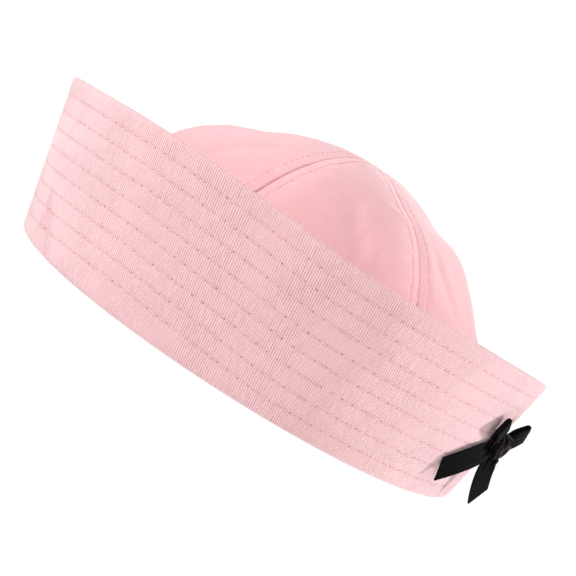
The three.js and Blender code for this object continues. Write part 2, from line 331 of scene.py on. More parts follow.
@dataclass(frozen=True)
class StitchRows:
    """Rows of stitches seen through their marks on the cloth: a needle hole between every two stitches, dark
    with painted shadow, some fainter, and a line of painted shade along each row, fading here and there."""

    stitch_mm: float
    pitch_mm: float
    count: int
    # Colours of the painted shadow in the needle holes and of the painted shade along the rows
    hole_shadow: str = "#8F5960"
    row_line_shade: str = "#DB9AA1"
    hole_mm: tuple[float, float] = (0.12, 0.5)
    line_mm: tuple[float, float] = (0.2, 0.85)
    hole_shade: float = 0.7
    line_shade: float = 0.36
    faintest_hole: float = 0.25
    faintest_line: float = 0.25
    hole_depth_mm: float = 0.14

    def mark(self, add: Callable[..., Sockets], colour: Socket, normal: Socket) -> tuple[Socket, Socket]:
        """Marks the rows on the plain cloth: painted shadow in the needle holes, painted shade along the
        rows, and pits at the holes. They follow the rows map: stitches by rows.

        Args:
            add: adds a node to the material's tree.
            colour: the plain cloth's colour.
            normal: the plain cloth's normal.

        Returns:
            The colour and the normal with the marks on them.
        """
        places = add("UVMap", uv_map=ROWS_UV)[0]
        stitches, rows, _ = add("SeparateXYZ", (places,))
        column = add("Math", (stitches,), operation="ROUND")[0]
        row = add("Clamp", (add("Math", (rows,), operation="ROUND")[0], 0.0, self.count - 1))[0]
        offsets = []
        for place, nearest, step_mm in ((stitches, column, self.stitch_mm), (rows, row, self.pitch_mm)):
            offset = add("Math", (place, nearest), operation="SUBTRACT")[0]
            offsets.append(add("Math", (offset, step_mm), operation="MULTIPLY")[0])

        away = add("VectorMath", (add("CombineXYZ", offsets)[0],), operation="LENGTH")["Value"]
        hole = add("MapRange", (away, *self.hole_mm, 1.0, 0.0), interpolation_type="SMOOTHSTEP")[0]
        cell = add("CombineXYZ", (column, row))[0]
        chance = add("TexWhiteNoise", {"Vector": cell}, noise_dimensions="3D")[0]
        kept = add("MapRange", (chance, 0.0, 1.0, self.faintest_hole, 1.0))[0]
        hole = add("Math", (hole, kept), operation="MULTIPLY")[0]

        beside = add("Math", (offsets[1],), operation="ABSOLUTE")[0]
        line = add("MapRange", (beside, *self.line_mm, 1.0, 0.0), interpolation_type="SMOOTHSTEP")[0]
        stretches = add("Mapping", {0: places, "Scale": (0.4, 3.0, 1)})[0]
        uneven = add("TexNoise", {"Vector": stretches, "Scale": 1.0, "Detail": 1.0})[0]
        kept = add("MapRange", (uneven, 0.35, 0.65, self.faintest_line, 1.0))[0]
        line = add("Math", (line, kept), operation="MULTIPLY")[0]

        # Painted shade: the lines along the rows and the needle holes are coloured darker, as shade and
        # shadow
        marks = ((line, self.line_shade, self.row_line_shade), (hole, self.hole_shade, self.hole_shadow))
        for amount, strongest, tint in marks:
            share = add("Math", (amount, strongest), operation="MULTIPLY")[0]
            colour = add("Mix", {0: share, 6: colour, 7: linear(tint)}, data_type="RGBA")[2]
        pit = add("Math", (1.0, hole), operation="SUBTRACT")[0]
        pits = {"Height": pit, "Strength": 1.0, "Distance": self.hole_depth_mm * MM, "Normal": normal}
        return colour, add("Bump", pits)[0]


@dataclass(frozen=True)
class RibbedCotton:
    """Ribbed cotton: a matt weave of soft spun yarn whose ribs stand in rounded crests, with painted shade
    darkening the grooves between them, under a thin fuzz that pales it where it is seen edge-on."""

    name: str
    crest: str
    # The groove colour is painted shade between the ribs
    groove: str
    rows: StitchRows | None = None
    rib_mm: float = 0.84
    rib_depth_mm: float = 0.15
    groove_shade: float = 0.95
    wander_mm: float = 9.0
    wobble_mm: float = 0.2
    pick_mm: float = 1.0
    bead_weight: float = 0.13
    slub_mm: float = 4.5
    slub_weight: float = 0.9
    patch_mm: float = 24.0
    dye_mm: float = 26.0
    fibre_mm: float = 0.4
    fibre_depth_mm: float = 0.05
    fuzz: float = 0.5
    roughness: float = 0.85

    def material(self) -> bpy.types.Material:
        """Builds the material.

        Returns:
            The material, which reads the piece's grain map in metres: x across the ribs, y along them.
        """
        material = bpy.data.materials.new(self.name)
        add = emptied_tree(material)
        grain = add("UVMap", uv_map=GRAIN_UV)[0]
        cloth = add("TexCoord")["Object"]

        # Yarns wander a little from their line
        wander = add("TexNoise", {"Vector": grain, "Scale": 1 / (self.wander_mm * MM), "Detail": 2.0})[0]
        side, along, _ = add("SeparateXYZ", (grain,))
        across = add("Math", (wander, 2 * self.wobble_mm * MM, side), operation="MULTIPLY_ADD")[0]
        angle = add("Math", (across, 2 * math.pi / (self.rib_mm * MM)), operation="MULTIPLY")[0]
        wave = add("Math", (angle,), operation="SINE")[0]
        rib = add("Math", (wave, 0.5, 0.5), operation="MULTIPLY_ADD")[0]

        # Each rib is beaded where the cross threads bind it, half a step on from its neighbours
        ribs = add("Math", (across, self.rib_mm * MM), operation="DIVIDE")[0]
        number = add("Math", (ribs,), operation="FLOOR")[0]
        stagger = add("Math", (number, math.pi), operation="MULTIPLY")[0]
        binding = (along, 2 * math.pi / (self.pick_mm * MM), stagger)
        bead = add("Math", (add("Math", binding, operation="MULTIPLY_ADD")[0],), operation="SINE")[0]
        rib = add("Math", (bead, self.bead_weight, rib), operation="MULTIPLY_ADD")[0]

        # Slubs: stretches of a yarn a few millimetres long that are thicker or thinner
        stretch = (1 / (self.rib_mm * MM), 1 / (self.slub_mm * MM), 1)
        stretches = add("Mapping", {0: grain, "Scale": stretch})[0]
        slubs = add("TexNoise", {"Vector": stretches, "Scale": 1.0, "Detail": 2.0})[0]
        slub = add("Math", (slubs, 0.5), operation="SUBTRACT")[0]
        crest = add("Math", (slub, self.slub_weight, rib), operation="MULTIPLY_ADD")[0]

        # Handling flattens the ribs in patches of a few centimetres
        patches = add("TexNoise", {"Vector": cloth, "Scale": 1 / (self.patch_mm * MM), "Detail": 1.5})[0]
        relief = add("MapRange", (patches, 0.36, 0.64, 0.4, 1.0))[0]

        # Fuzz of single fibres, drawn long enough to show, and dye that took a little unevenly
        fibre = {"Vector": cloth, "Scale": 1 / (self.fibre_mm * MM), "Detail": 2.0, "Roughness": 0.6}
        fuzz = add("TexNoise", fibre)[0]
        cloud = {"Vector": cloth, "Scale": 1 / (self.dye_mm * MM), "Detail": 3.0, "Roughness": 0.55}
        tone = add("MapRange", (add("TexNoise", cloud)[0], 0.3, 0.7, 0.955, 1.03))[0]
        speck = add("MapRange", (fuzz, 0.25, 0.75, 0.97, 1.03))[0]

        # Painted shade: the grooves are coloured darker than the crests, less so where the patches flatten
        # the ribs
        strength = add("Math", (relief, self.groove_shade), operation="MULTIPLY")[0]
        middle = add("Math", (crest, 0.5), operation="SUBTRACT")[0]
        depth = add("Math", (middle, strength), operation="MULTIPLY")[0]
        share = add("MapRange", (depth, -0.5, 0.4))[0]
        ends = {0: share, 6: linear(self.groove), 7: linear(self.crest)}
        colour = add("Mix", ends, data_type="RGBA")[2]
        for factor in (tone, speck):
            colour = add("VectorMath", (colour, factor), operation="MULTIPLY")[0]

        ridges = {"Height": crest, "Strength": relief, "Distance": self.rib_depth_mm * MM}
        fibres = {"Height": fuzz, "Strength": 1.0, "Distance": self.fibre_depth_mm * MM}
        normal = add("Bump", {**fibres, "Normal": add("Bump", ridges)[0]})[0]
        if self.rows:
            colour, normal = self.rows.mark(add, colour, normal)
        finish = {
            "Base Color": colour,
            "Normal": normal,
            "Roughness": self.roughness,
            "Specular IOR Level": 0.25,
            "Sheen Weight": self.fuzz,
            "Sheen Roughness": 0.45,
        }
        add("OutputMaterial", (add("BsdfPrincipled", finish)[0],))
        return material


@dataclass(frozen=True)
class SewingThread:
    """Spun polyester sewing thread: two twisted strands, smoother than the cloth, with a faint gleam."""

    name: str
    colour: str
    twist_mm: float = 0.7
    strand_depth_mm: float = 0.06
    roughness: float = 0.6
    gleam: float = 0.15

    def material(self) -> bpy.types.Material:
        """Builds the material.

        Returns:
            The material, on object coordinates.
        """
        material = bpy.data.materials.new(self.name)
        add = emptied_tree(material)
        place = add("TexCoord")["Object"]
        strands = add("TexNoise", {"Vector": place, "Scale": 1 / (self.twist_mm * MM), "Detail": 1.0})[0]
        tone = add("MapRange", (strands, 0.3, 0.7, 0.88, 1.05))[0]
        finish = {
            "Base Color": add("VectorMath", (linear(self.colour)[:3], tone), operation="MULTIPLY")[0],
            "Normal": add("Bump", {"Height": strands, "Distance": self.strand_depth_mm * MM})[0],
            "Roughness": self.roughness,
            "Sheen Weight": self.gleam,
        }
        add("OutputMaterial", (add("BsdfPrincipled", finish)[0],))
        return material


@dataclass(frozen=True)
class VelvetRibbon:
    """Black velvet ribbon: a short dense pile that swallows light, paler only in painted sheen where the
    pile lies over, with fine lines along the ribbon. On the knot, its paler streaks are painted highlights."""

    name: str
    pile: str
    # The paler colour is painted sheen, and on the knot painted highlights
    painted_sheen: str
    line_mm: float = 0.9
    mottle: float = 1.0
    painted_sheen_range: tuple[float, float] = (0.18, 0.42)
    streak_mm: float = 9.0
    line_depth_mm: float = 0.35
    tuft_mm: float = 0.35
    tuft_depth_mm: float = 0.1
    roughness: float = 0.95

    def material(self) -> bpy.types.Material:
        """Builds the material.

        Returns:
            The material, which reads the piece's grain map in metres: x across the ribbon, y along it.
        """
        material = bpy.data.materials.new(self.name)
        add = emptied_tree(material)
        grain = add("UVMap", uv_map=GRAIN_UV)[0]
        cloth = add("TexCoord")["Object"]
        stretch = (1 / (self.line_mm * MM), 1 / (self.streak_mm * MM), 1)
        streaks = add("Mapping", {0: grain, "Scale": stretch})[0]
        lines = add("TexNoise", {"Vector": streaks, "Scale": 1.0, "Detail": 2.0})[0]
        tufts = add("TexNoise", {"Vector": cloth, "Scale": 1 / (self.tuft_mm * MM), "Detail": 2.0})[0]
        mottled = add("Math", (tufts, self.mottle, 0.5 * (1 - self.mottle)), operation="MULTIPLY_ADD")[0]
        # Painted sheen: where the lines and tufts meet, the pile is coloured paler
        painted_sheen = add("Math", (lines, mottled), operation="MULTIPLY")[0]
        share = add("MapRange", (painted_sheen, *self.painted_sheen_range))[0]
        ends = {0: share, 6: linear(self.pile), 7: linear(self.painted_sheen)}
        ridges = add("Bump", {"Height": lines, "Distance": self.line_depth_mm * MM})[0]
        pile = {"Height": tufts, "Distance": self.tuft_depth_mm * MM, "Normal": ridges}
        finish = {
            "Base Color": add("Mix", ends, data_type="RGBA")[2],
            "Normal": add("Bump", pile)[0],
            "Roughness": self.roughness,
            "Specular IOR Level": 0.06,
            "Sheen Weight": 0.03,
            "Sheen Roughness": 0.3,
        }
        add("OutputMaterial", (add("BsdfPrincipled", finish)[0],))
        return material


@dataclass
class Stitch:
    """One stitch: a short length of thread that dives into the cloth at both ends. It lies along X with
    the cloth under it, and every row is sewn with copies of it."""

    diameter_mm: float = 0.27
    sides: int = 6
    # Place as a share of the length, lift in mm, and thickness as a share of the full one
    arch: tuple[Point, ...] = (
        (-0.5, -0.55, 0.55),
        (-0.42, -0.2, 0.9),
        (-0.28, 0.06, 1.0),
        (0.0, 0.12, 1.0),
        (0.28, 0.06, 1.0),
        (0.42, -0.2, 0.9),
        (0.5, -0.55, 0.55),
    )

    def pattern(self) -> tuple[Array, list[tuple[int, ...]]]:
        """Models the stitch: a six-sided end, extruded along the arch.

        Returns:
            Its points, with x as a share of the stitch's length and y and z in mm, and its faces.
        """
        deselect_all()
        bpy.ops.mesh.primitive_circle_add(
            vertices=self.sides, radius=1, fill_type="NGON", rotation=(0, math.pi / 2, 0)
        )
        piece = bpy.context.active_object
        bpy.ops.object.transform_apply(location=False, rotation=True, scale=False)
        extrude = partial(bpy.ops.mesh.extrude_region_move, TRANSFORM_OT_translate={"value": (1, 0, 0)})
        edit_whole_mesh(
            *[extrude] * (len(self.arch) - 1),
            partial(bpy.ops.mesh.select_all, action="SELECT"),
            partial(bpy.ops.mesh.normals_make_consistent, inside=False),
        )
        mesh = piece.data
        points = np.array([vertex.co for vertex in mesh.vertices])
        along, lift, thickness = np.array(self.arch)[np.rint(points[:, 0]).astype(int)].T
        radius = self.diameter_mm / 2 * thickness
        shaped = np.stack([along, points[:, 1] * radius, points[:, 2] * radius + lift], axis=-1)
        faces = [tuple(face.vertices) for face in mesh.polygons]
        bpy.data.objects.remove(piece)
        bpy.data.meshes.remove(mesh)
        return shaped, faces

    def sew(self, name: str, starts: Array, ends: Array, outward: Array) -> bpy.types.Object:
        """Sews a row of stitches as one piece.

        Args:
            name: the piece's name.
            starts: where each stitch goes in, in mm.
            ends: where it comes out.
            outward: direction away from the cloth at each stitch.

        Returns:
            The row, with its points in place.
        """
        pattern, faces = self.pattern()
        along = ends - starts
        side = unit(np.cross(outward, along))
        lift = unit(np.cross(along, side))
        middle = (starts + ends) / 2
        points = (
            middle[:, None]
            + along[:, None] * pattern[None, :, :1]
            + side[:, None] * pattern[None, :, 1:2]
            + lift[:, None] * pattern[None, :, 2:]
        )
        count = len(pattern)
        every = [tuple(i + k * count for i in face) for k in range(len(starts)) for face in faces]
        mesh = bpy.data.meshes.new(name)
        mesh.from_pydata((points.reshape(-1, 3) * MM).tolist(), [], every)
        mesh.update()
        row = bpy.data.objects.new(name, mesh)
        bpy.context.collection.objects.link(row)
        deselect_all()
        row.select_set(True)
        bpy.context.view_layer.objects.active = row
        bpy.ops.object.shade_smooth()
        return row


@dataclass
class Brim:
    """The brim: a wide band of ribbed cotton, stitched in rows, turned up round the crown. Its section is
    a J with an outer wall, a fold at its foot and a short lip turned up inside."""

    cloth: RibbedCotton
    thread: SewingThread
    half_width: float = 94.5
    half_depth: float = 102.1
    wall: float = 2.4
    fold_gap: float = 1.2
    lip_wall: float = 1.6
    lip_height: float = 10.0
    outer_round: float = 2.4
    inner_round: float = 1.0
    lip_round: float = 0.5
    # Azimuth, how far the wall leans out in degrees, and how high its edge stands
    sections: tuple[Point, ...] = (
        (-90, 12.7, 56.1),
        (-60, 13.0, 57.8),
        (-30, 13.9, 59.6),
        (-10, 14.2, 58.5),
        (8, 14.0, 56.0),
        (30, 12.8, 56.0),
        (60, 10.6, 55.4),
        (90, 8.5, 53.6),
        (120, 9.6, 51.8),
        (155, 11.2, 49.2),
        (180, 12.0, 50.5),
        (205, 12.4, 53.6),
        (235, 12.6, 55.4),
    )
    # Crease pressed into the foot: height, the azimuths where it starts and is deepest, and its depth
    dent_sections: tuple[tuple[float, float, float, float], ...] = (
        (0, -60.2, -51.6, 1.6),
        (4, -59.5, -51.4, 2.6),
        (8, -58.5, -52.6, 2.8),
        (13, -58.0, -54.0, 2.0),
        (17, -58.4, -56.6, 0.9),
        (22, -58.6, -57.0, 0.0),
    )
    dent_rise: float = 1.5
    dent_ridge: float = 0.2
    dent_ridge_half_width: float = 0.55
    dent_ridge_beyond: float = 0.3
    dented: tuple[float, float] = (-61.5, -49.0)
    # Stitching: rows from the edge down, closer together where the wall is lower than `full_wall`
    rows: int = 8
    first_row: float = 6.3
    row_pitch: float = 6.42
    full_wall: float = 57.5
    stitches: int = 156
    row_shift: float = 0.37
    groove_depth: float = 0.14
    groove_half_width: float = 0.42
    tug: float = 0.3
    puff: float = 0.09
    thread_proud: float = 0.02
    stitch_reach: float = 0.44
    # Rings of the grid: distances from a stitch row, outside and inside, and shares of the wall's foot
    outer_rings: tuple[float, ...] = (1.6, 0.85, 0.5, 0.22, 0.0, -0.22, -0.5, -0.85, -1.6, -3.2)
    inner_rings: tuple[float, ...] = (-3.2, -0.6, 0.0, 0.6, 1.9)
    foot_rings: tuple[float, ...] = (0.88, 0.6, 0.3)
    top_ring: float = -4.3
    mean_flare: float = 12.5
    # The band is cut on an arc, so its ribs fan out: their lean in front, in degrees, and the arc's radius
    lean: float = 7.0
    fan_radius: float = 870.0
    back_seam_depth: float = 0.6
    # In degrees: 1.1 mm, where a degree is 1.8 mm round the wall
    back_seam_half_width: float = 1.1 / 1.8
    columns: int = 584

    def plan_radius(self, azimuth: Value) -> Value:
        """Radius of the fold's outer face in plan."""
        angle = np.radians(azimuth)
        return 1 / np.hypot(np.sin(angle) / self.half_width, np.cos(angle) / self.half_depth)

    def lean_of_wall(self, azimuth: Array) -> tuple[Array, Array, Array]:
        """The wall's flare and length.

        Args:
            azimuth: where round the hat.

        Returns:
            Sine and cosine of the flare, and the length of the wall.
        """
        flare = np.radians(around(self.sections, 1, azimuth))
        height = around(self.sections, 2, azimuth)
        length = (height - self.wall / 2 * np.sin(flare)) / np.cos(flare)
        return np.sin(flare), np.cos(flare), length

    def dent(self, azimuth: Array, z: Array) -> Array:
        """Form of the crease: it sinks slowly, rises steeply and ends in a low ridge.

        Args:
            azimuth: where round the hat.
            z: how high.

        Returns:
            How far the wall is pushed in.
        """
        levels, *columns = np.array(self.dent_sections).T
        start, deepest, depth = (np.interp(z, levels, column) for column in columns)
        beside = turn(start, azimuth)
        width = deepest - start
        share = np.clip(beside / width, 0, 1)
        sunk = share * (1.3 - 0.3 * share) - smoothstep(beside - width, 0, self.dent_rise)
        past = beside - width - self.dent_rise - self.dent_ridge_beyond
        return depth * (sunk - self.dent_ridge * bell(past, self.dent_ridge_half_width))

    def row_distance(self, row: Value, length: Array) -> Array:
        """Distance of a stitch row below the edge, along the wall."""
        return (self.first_row + self.row_pitch * row) * np.minimum(1, length / self.full_wall)

    def on_wall(self, azimuth: Array, along: Array, inward: Value) -> tuple[Array, Array]:
        """A place in the wall.

        Args:
            azimuth: where round the hat.
            along: distance up the wall from the fold.
            inward: depth below the wall's outer face.

        Returns:
            How far out from the fold's plan radius, and how high.
        """
        sine, cosine, _ = self.lean_of_wall(azimuth)
        z = along * cosine + inward * sine
        return along * sine - inward * cosine - self.dent(azimuth, z), z

    def round_hat(self, azimuth: Array) -> Array:
        """Distance round the wall at half its height.

        Args:
            azimuth: where to.

        Returns:
            The distance from the front, growing towards +X, in mm.
        """
        middle = self.plan_radius(STEPS_ROUND) + self.full_wall / 2 * math.tan(math.radians(self.mean_flare))
        arcs = (middle[1:] + middle[:-1]) / 2 * np.radians(STEPS_ROUND[1] - STEPS_ROUND[0])
        travelled = np.concatenate([[0], np.cumsum(arcs)])
        return np.interp(azimuth, STEPS_ROUND, travelled - travelled[-1] / 2)

    def whole_round(self) -> float:
        """Distance all the way round the wall at half its height, in mm."""
        return 2 * float(self.round_hat(np.array(180.0)))

    def relief(self, azimuth: Array, below_edge: Array, length: Array) -> tuple[Array, Array]:
        """Stitched relief of the wall.

        Args:
            azimuth: where round the hat.
            below_edge: distance below the edge, along the wall.
            length: length of the wall there.

        Returns:
            How far the cloth stands proud of the plain wall, and the row number, a fraction between rows.
        """
        scale = np.minimum(1, length / self.full_wall)
        row = (below_edge / scale - self.first_row) / self.row_pitch
        nearest = np.clip(np.rint(row), 0, self.rows - 1)
        distance = np.abs(row - nearest) * self.row_pitch * scale
        place = self.round_hat(azimuth)
        phase = self.stitches * place / self.whole_round() + self.row_shift * nearest
        tug = 1 + self.tug * np.cos(2 * np.pi * phase)
        groove = self.groove_depth * tug * bell(distance, self.groove_half_width)
        quilted = self.puff * (1 - bell(distance, self.row_pitch / 3.2))
        uneven = 0.1 * ripple(place, 31, 1.3 + 0.7 * self.rows) + 0.05 * ripple(place + 3 * row, 11.5, 2.1)
        edge = smoothstep(below_edge, 0, 3)
        seam = self.back_seam_depth * bell(turn(180.0, azimuth), self.back_seam_half_width)
        return (quilted + uneven) * edge - groove - seam, row

    def section(self, azimuth: Array) -> tuple[Array, Array, Array]:
        """The brim's closed section at each azimuth.

        Args:
            azimuth: one value for each column.

        Returns:
            Rows by columns of how far out from the plan radius, how high, and the stitch row number.
        """
        sine, cosine, length = self.lean_of_wall(azimuth)
        level = np.zeros_like(azimuth)
        rings: list[tuple[Array, Array, Array]] = []

        def add(out: Value, height: Value, number: Value) -> None:
            """Adds a ring of the section, from its values or one value for all round."""
            rings.append((out + level, height + level, number + level))

        def add_wall(below_edge: Array, face: Face) -> None:
            """Adds a ring on one face of the wall.

            Args:
                below_edge: distance below its edge.
                face: the face.
            """
            proud, number = self.relief(azimuth, below_edge, length)
            inward = -proud if face is Face.OUTER else self.wall + proud
            add(*self.on_wall(azimuth, length - below_edge, inward), number)

        foot_number = self.rows + 0.5
        lip_outer = -(self.wall + self.fold_gap)
        lip_inner = lip_outer - self.lip_wall
        for angle in np.radians(np.linspace(180, 270, 4)):
            out = lip_inner + self.inner_round * (1 + np.cos(angle))
            add(out, self.inner_round * (1 + np.sin(angle)), foot_number)
        centre = self.outer_round * (sine - 1) / cosine
        for share in np.linspace(0, 1, 6):
            angle = lerp(-np.pi / 2, -np.arcsin(sine), share)
            height = self.outer_round * (1 + np.sin(angle))
            out = centre + self.outer_round * np.cos(angle) - share * self.dent(azimuth, height)
            add(out, height, foot_number)

        last = self.row_distance(self.rows - 1, length) + self.outer_rings[0]
        foot = self.outer_round * (1 - sine) / cosine
        for share in self.foot_rings:
            add_wall(lerp(last, length - foot, share), Face.OUTER)
        for row in reversed(range(self.rows)):
            for offset in self.outer_rings:
                add_wall(self.row_distance(row, length) + offset, Face.OUTER)
        add_wall(self.row_distance(0, length) + self.top_ring, Face.OUTER)
        radius = self.wall / 2
        for angle in np.linspace(0, np.pi, 9):
            along = length - radius + radius * np.sin(angle)
            _, number = self.relief(azimuth, length - along, length)
            add(*self.on_wall(azimuth, along, radius - radius * np.cos(angle)), number)
        for row in range(self.rows):
            for offset in self.inner_rings:
                add_wall(self.row_distance(row, length) + offset, Face.INNER)

        fold_side = self.wall + self.fold_gap / 2
        add((fold_side * sine - self.wall) / cosine, fold_side, foot_number)
        add(lip_outer + self.fold_gap / 2, self.wall, foot_number)
        add(lip_outer, fold_side, foot_number)
        for share, drop in ((0, 1), (0.3, 0.15), (0.7, 0.15), (1, 1)):
            add(lerp(lip_outer, lip_inner, share), self.lip_height - self.lip_round * drop, foot_number)
        add(lip_inner, self.inner_round, foot_number)
        outs, heights, numbers = np.moveaxis(np.array(rings), 1, 0)
        return outs, heights, numbers

    def build_band(self) -> bpy.types.Object:
        """Builds the band: a grid round the hat, closed on itself both ways.

        Returns:
            The brim's cloth.
        """
        azimuth = np.linspace(-180, 180, self.columns + 1)
        creased = azimuth[(azimuth > self.dented[0]) & (azimuth < self.dented[1])]
        step = 360 / self.columns
        azimuth = np.sort(np.concatenate([azimuth, creased + step / 3, creased + step * 2 / 3]))
        outs, heights, numbers = self.section(azimuth)
        points = at_azimuth(azimuth, self.plan_radius(azimuth) + outs, heights)
        place = np.broadcast_to(self.round_hat(azimuth), outs.shape)
        angle = math.radians(self.lean) + place / self.fan_radius
        reach = self.fan_radius + distance_along(points)
        stitch = self.stitches * place / self.whole_round() + self.row_shift * numbers
        maps = {
            GRAIN_UV: np.stack([reach * np.sin(angle), reach * np.cos(angle)], axis=-1) * MM,
            ROWS_UV: np.stack([stitch, numbers], axis=-1),
        }
        band = cloth_grid("brim_band", points, maps)
        seal()
        bpy.ops.object.shade_smooth()
        return settle(band, self.cloth.material(), Slot.BRIM_COTTON, "brim")

    def build_row(
        self, row: int, face: Face, stitch: Stitch, material: bpy.types.Material
    ) -> bpy.types.Object:
        """Sews one row of stitches round one face of the wall.

        Args:
            row: number of the row, from 0 at the edge.
            face: the face that they show on.
            stitch: the stitch.
            material: the thread.

        Returns:
            The row of stitches.
        """
        counts = np.arange(self.stitches)
        proud = self.thread_proud - self.groove_depth

        def place(share: float) -> Array:
            """Points on the row.

            Args:
                share: how far past each stitch's middle, as a share of a stitch.

            Returns:
                A point for each stitch.
            """
            turns = ((counts + 0.5 + share - self.row_shift * row) / self.stitches + 0.5) % 1 - 0.5
            azimuth = np.interp(turns * self.whole_round(), self.round_hat(STEPS_ROUND), STEPS_ROUND)
            length = self.lean_of_wall(azimuth)[2]
            inward = -proud if face is Face.OUTER else self.wall + proud
            out, height = self.on_wall(azimuth, length - self.row_distance(row, length), inward)
            return at_azimuth(azimuth, self.plan_radius(azimuth) + out, height)

        starts, ends = place(-self.stitch_reach), place(self.stitch_reach)
        outward = unit(place(0.0) * (1, 1, 0) * face.value)
        sewn = stitch.sew(f"brim_stitches_{face.name.lower()}_{row + 1}", starts, ends, outward)
        return settle(sewn, material, Slot.BRIM_COTTON)

    def build(self) -> None:
        """Builds the band and its rows of stitches."""
        self.build_band()
        thread = self.thread.material()
        stitch = Stitch()
        for row in range(self.rows):
            self.build_row(row, Face.OUTER, stitch, thread)
        for row in range(self.rows - 1):
            self.build_row(row, Face.INNER, stitch, thread)


@dataclass
class Crown:
    """The crown: six gores of ribbed cotton that meet at the top, each seam pressed open and stitched down
    on both sides."""

    cloth: RibbedCotton
    thread: SewingThread
    brim: Brim
    wall: float = 1.2
    pressed_in: float = 0.12
    bottom: float = 3.0
    height: float = 89.0
    height_power: float = 2.3
    radius_power: float = 0.57
    lean: float = 4.0
    tip_radius: float = 0.02
    sway_height: float = 82.0
    sway_spread: float = 5.0
    seam_valley: float = 0.12
    seam_valley_half_width: float = 2.6
    seam_ditch: float = 1.35
    seam_ditch_half_width: float = 0.28
    allowance: float = 0.12
    stitch_line: float = 4.1
    stitch_groove: float = 0.1
    stitch_length: float = 3.4
    stitch_hidden: float = 0.4
    least_stitched: float = 11.0
    pucker: float = 0.42
    full_from: float = 44.5
    domed_from: float = 18.0
    # Widths and radii, in mm, over which seams fade near the top, the cloth flattens, and the wall thins
    seams_fade: tuple[float, float] = (3, 16)
    top_flattens: tuple[float, float] = (2.2, 13)
    tip_thins: tuple[float, float] = (0.5, 5.0)
    # Seam on a gore's left, its stray near the top, how full the gore is, and its ribs' lean in degrees
    gores: tuple[tuple[float, float, float, float], ...] = (
        (-22, 0, 2.2, 35),
        (31, -3, 2.2, 13),
        (92, 0, 2.4, 16),
        (153, 2, 2.0, 10),
        (215, 0, 2.6, 18),
        (276, 1, 1.8, 15),
    )
    # Soft bumps and hollows: azimuth, height, width across and up the cloth, and how far out
    forms: tuple[tuple[float, float, float, float, float], ...] = (
        (8, 66, 13, 14, -1.5),
        (-14, 66, 7, 22, 0.9),
        (22, 70, 9, 14, 0.9),
        (82, 75, 16, 6, 1.1),
        (84, 58, 18, 9, -1.6),
        (58, 64, 9, 14, -1.2),
        (-62, 68, 20, 10, 0.8),
        (-82, 81, 18, 8, -0.4),
        (-88, 77.5, 24, 4, -1.7),
        (-90, 55.5, 20, 4.5, -1.9),
        (86, 57, 18, 3.5, -0.8),
        (80, 86, 14, 4, 0.5),
        (80, 81.5, 22, 3, -1.4),
        (140, 66, 18, 14, -1.0),
        (215, 70, 16, 14, 1.0),
    )
    # Creases of the soft cloth: half width, how far out, and the azimuths and heights that they run through
    creases: tuple[tuple[float, float, tuple[tuple[float, float], ...]], ...] = (
        (3.0, -0.5, ((-3.1, 74.2), (3.1, 72.1), (8.0, 64.7), (9.6, 60.7), (9.7, 52.0))),
        (4.2, 0.55, ((2.6, 75.5), (11.3, 67.0), (16.0, 56.4))),
        (2.8, 0.4, ((38.5, 77.8), (36.5, 69.6), (37.0, 62.7), (37.5, 54.0))),
        (3.0, -0.95, ((42.5, 74.9), (43.2, 67.8), (47.3, 60.8), (51.1, 56.0))),
        (2.2, -0.5, ((-35.0, 76.0), (-41.0, 68.0), (-44.0, 58.0))),
        (2.6, 0.5, ((118.0, 72.0), (124.0, 62.0))),
        (2.2, -0.6, ((205.0, 76.0), (196.0, 64.0), (193.0, 54.0))),
    )
    rows: int = 130
    # Distances from the seam, in mm
    fine_columns: tuple[float, ...] = (
        *(0, 0.25, 0.5, 0.8, 1.15, 1.55, 2.0, 2.5, 3.0, 3.4, 3.7),
        *(3.9, 4.1, 4.3, 4.5, 4.8, 5.3, 6.0, 7.0, 8.2, 9.6),
    )
    even_columns: int = 20

    def radius(self, azimuth: Value, z: Value) -> Value:
        """Radius of the plain form.

        Args:
            azimuth: where round the crown.
            z: how high.

        Returns:
            The radius, in mm.
        """
        inside = self.brim.wall + self.brim.fold_gap + self.brim.lip_wall - self.pressed_in
        foot = self.brim.plan_radius(azimuth) - inside
        return foot * (1 - (z / self.height) ** self.height_power) ** self.radius_power

    def seam_azimuth(self, gore: int, z: Array) -> Array:
        """Azimuth of the seam on a gore's left, at a height."""
        seam, sway = self.gores[gore % len(self.gores)][:2]
        return seam + np.degrees(sway / self.radius(seam, z) * bell(z - self.sway_height, self.sway_spread))

    def level(self, rise: Array) -> Array:
        """Height of the plain form.

        Args:
            rise: from the lower edge, 0, to the top, 1.

        Returns:
            The height, in mm.
        """
        tip_share = self.tip_radius / self.brim.half_width
        tip = self.height * (1 - tip_share ** (1 / self.radius_power)) ** (1 / self.height_power)
        return self.bottom + (tip - self.bottom) * np.sin(rise * np.pi / 2)

    def swell(self, gore: int, share: Array, azimuth: Array, span: Array, z: Array) -> Array:
        """How far the cloth stands out of the plain form.

        Args:
            gore: which gore.
            share: from the seam on its left, 0, to the one on its right, 1.
            azimuth: where round the crown.
            span: width of the gore there, in degrees.
            z: how high.

        Returns:
            The distance, in mm, with fullness, soft forms, creases and seams, and 0 at both ends.
        """
        radius = self.radius(azimuth, z)
        rising = smoothstep(z, self.bottom, self.full_from) * radius / self.brim.half_width
        total = self.gores[gore][2] * np.sin(np.pi * share) * rising
        for form_azimuth, height, across, up, out in self.forms:
            beside = np.radians(turn(form_azimuth, azimuth)) * radius
            total = total + out * bell(beside, across) * bell(z - height, up)
        for half_width, out, path in self.creases:
            total = total + out * self.crease(azimuth, radius, z, half_width, path)
        width = np.radians(span) * radius
        from_seam = np.minimum(share, 1 - share) * width
        nearer = (gore + (share > 0.5)) % len(self.gores)
        total = total - self.seam_valley * bell(from_seam, self.seam_valley_half_width)
        seam = self.seam_relief(gore, nearer, from_seam, z) * smoothstep(width, *self.seams_fade)
        return (total + seam) * smoothstep(radius, *self.top_flattens) * smoothstep(z, 10, 25)

